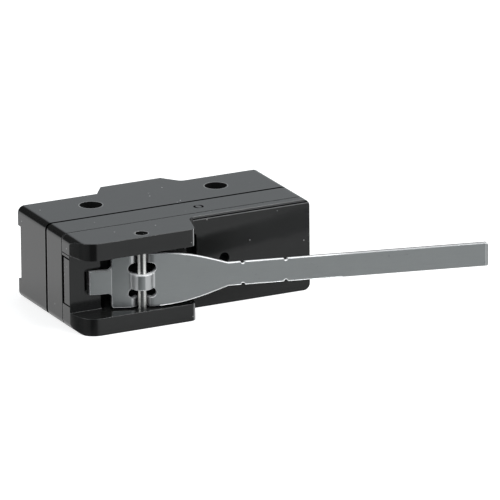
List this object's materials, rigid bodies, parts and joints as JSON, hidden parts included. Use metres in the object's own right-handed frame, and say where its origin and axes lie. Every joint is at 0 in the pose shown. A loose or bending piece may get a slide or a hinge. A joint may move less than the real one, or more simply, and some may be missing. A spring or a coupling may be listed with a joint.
{
  "type": "snap-action lever switch",
  "caption": "Snap-action door switch: black moulded case with two cross holes, a long steel lever on a hinge pin between its ears, and screw terminals on the back.",
  "frame": {"origin": "midway between the two mounting holes, on the bottom broad face that the switch lies on", "axes": "+X along the case towards the lever's tip, -Y the lever side, +Y the terminal side, +Z across the thickness"},
  "size_m": [0.0758, 0.0469, 0.0174],
  "materials": {
    "case_moulding": "satin black phenolic moulding",
    "plunger_resin": "smooth black moulding",
    "lever_steel": "cold-rolled stainless sheet, satin",
    "pin_steel": "polished steel",
    "terminal_brass": "plain brass strip",
    "screw_steel": "nickel-plated steel",
    "washer_steel": "nickel-plated steel",
    "contact_silver": "fine silver",
    "spring_alloy": "copper spring alloy"
  },
  "bodies": {
    "case": {"base_case": "case_moulding", "cover": "case_moulding", "lever_holder": "case_moulding", "hinge_pin": "pin_steel", "common_terminal": "terminal_brass", "open_terminal": "terminal_brass", "closed_terminal": "terminal_brass", "common_screw": "screw_steel", "open_screw": "screw_steel", "closed_screw": "screw_steel", "common_washer": "washer_steel", "open_washer": "washer_steel", "closed_washer": "washer_steel", "open_contact": "contact_silver", "closed_contact": "contact_silver", "spring_spacer": "terminal_brass", "anchor_rivet": "screw_steel"},
    "lever": {"lever": "lever_steel"},
    "plunger": {"plunger": "plunger_resin"},
    "snap_action": {"snap_spring": "spring_alloy", "moving_contact": "contact_silver"}
  },
  "joints": [
    {"name": "lever_swing", "type": "hinge", "parent": "case", "child": "lever", "pos_m": [-0.0118, -0.0195, 0.00873], "axis": [0, 0, 1], "range_deg": [0, 19], "stiffness_Nm_per_rad": 0.1, "springref_deg": -11.46},
    {"name": "plunger_slide", "type": "slide", "parent": "case", "child": "plunger", "axis": [0, 1, 0], "range_m": [0, 0.00055]},
    {"name": "contact_snap", "type": "hinge", "parent": "case", "child": "snap_action", "pos_m": [-0.0184, -0.00827, 0.00873], "axis": [0, 0, 1], "range_deg": [0, 0.85]}
  ],
  "couplings": [
    {"joint": "plunger_slide", "follows": "lever_swing", "m_per_rad": 0.0016583},
    {"joint": "contact_snap", "follows": "lever_swing", "ratio": 0.044711}
  ]
}
